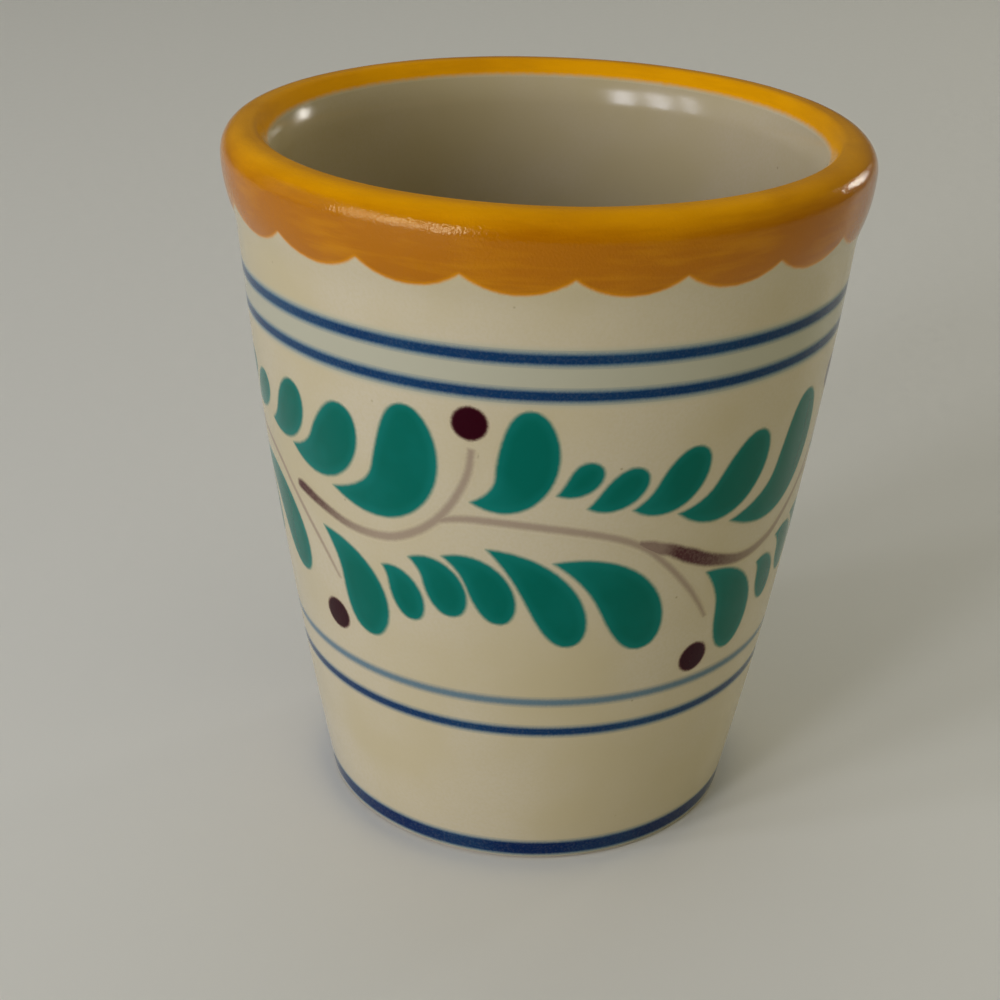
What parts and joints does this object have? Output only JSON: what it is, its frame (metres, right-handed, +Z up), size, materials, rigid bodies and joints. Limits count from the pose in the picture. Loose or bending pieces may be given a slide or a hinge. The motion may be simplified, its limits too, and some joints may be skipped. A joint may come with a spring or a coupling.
{
  "type": "ceramic cup",
  "caption": "Handleless ceramic cup with a tapered wall, a thick rolled rim and hand-painted lines and leaf garland.",
  "frame": {"origin": "centre of the foot ring, in the plane that the cup stands on", "axes": "+Z up along the axis of revolution, -Y towards the side that the picture shows"},
  "size_m": [0.0902, 0.0902, 0.1011],
  "materials": {
    "bare_clay": "matt, unglazed and lightly rubbed at the foot ring",
    "cream_glaze": "semi-gloss cream glaze, slightly speckled",
    "ochre": "brushed ochre under semi-gloss glaze",
    "cobalt": "grainy cobalt blue line",
    "leaf_green": "brushed copper green, watery at the tail of each stroke",
    "mauve": "thin mauve brown line",
    "maroon": "thick dark maroon dot"
  },
  "bodies": {
    "root": {"clay_body": "bare_clay", "inner_glaze": "cream_glaze", "outer_glaze": "cream_glaze", "base_glaze": "cream_glaze", "rim_band": "ochre", "rim_scallops": "ochre", "foot_line": "cobalt", "low_line_lower": "cobalt", "low_line_upper": "cobalt", "top_line_lower": "cobalt", "top_line_upper": "cobalt", "spray_a_upper_leaves": "leaf_green", "spray_a_lower_leaves": "leaf_green", "spray_a_stems": "mauve", "spray_a_berries": "maroon", "spray_b_upper_leaves": "leaf_green", "spray_b_lower_leaves": "leaf_green", "spray_b_stems": "mauve", "spray_b_berries": "maroon", "spray_c_upper_leaves": "leaf_green", "spray_c_lower_leaves": "leaf_green", "spray_c_stems": "mauve", "spray_c_berries": "maroon", "spray_d_upper_leaves": "leaf_green", "spray_d_lower_leaves": "leaf_green", "spray_d_stems": "mauve", "spray_d_berries": "maroon"}
  },
  "joints": []
}
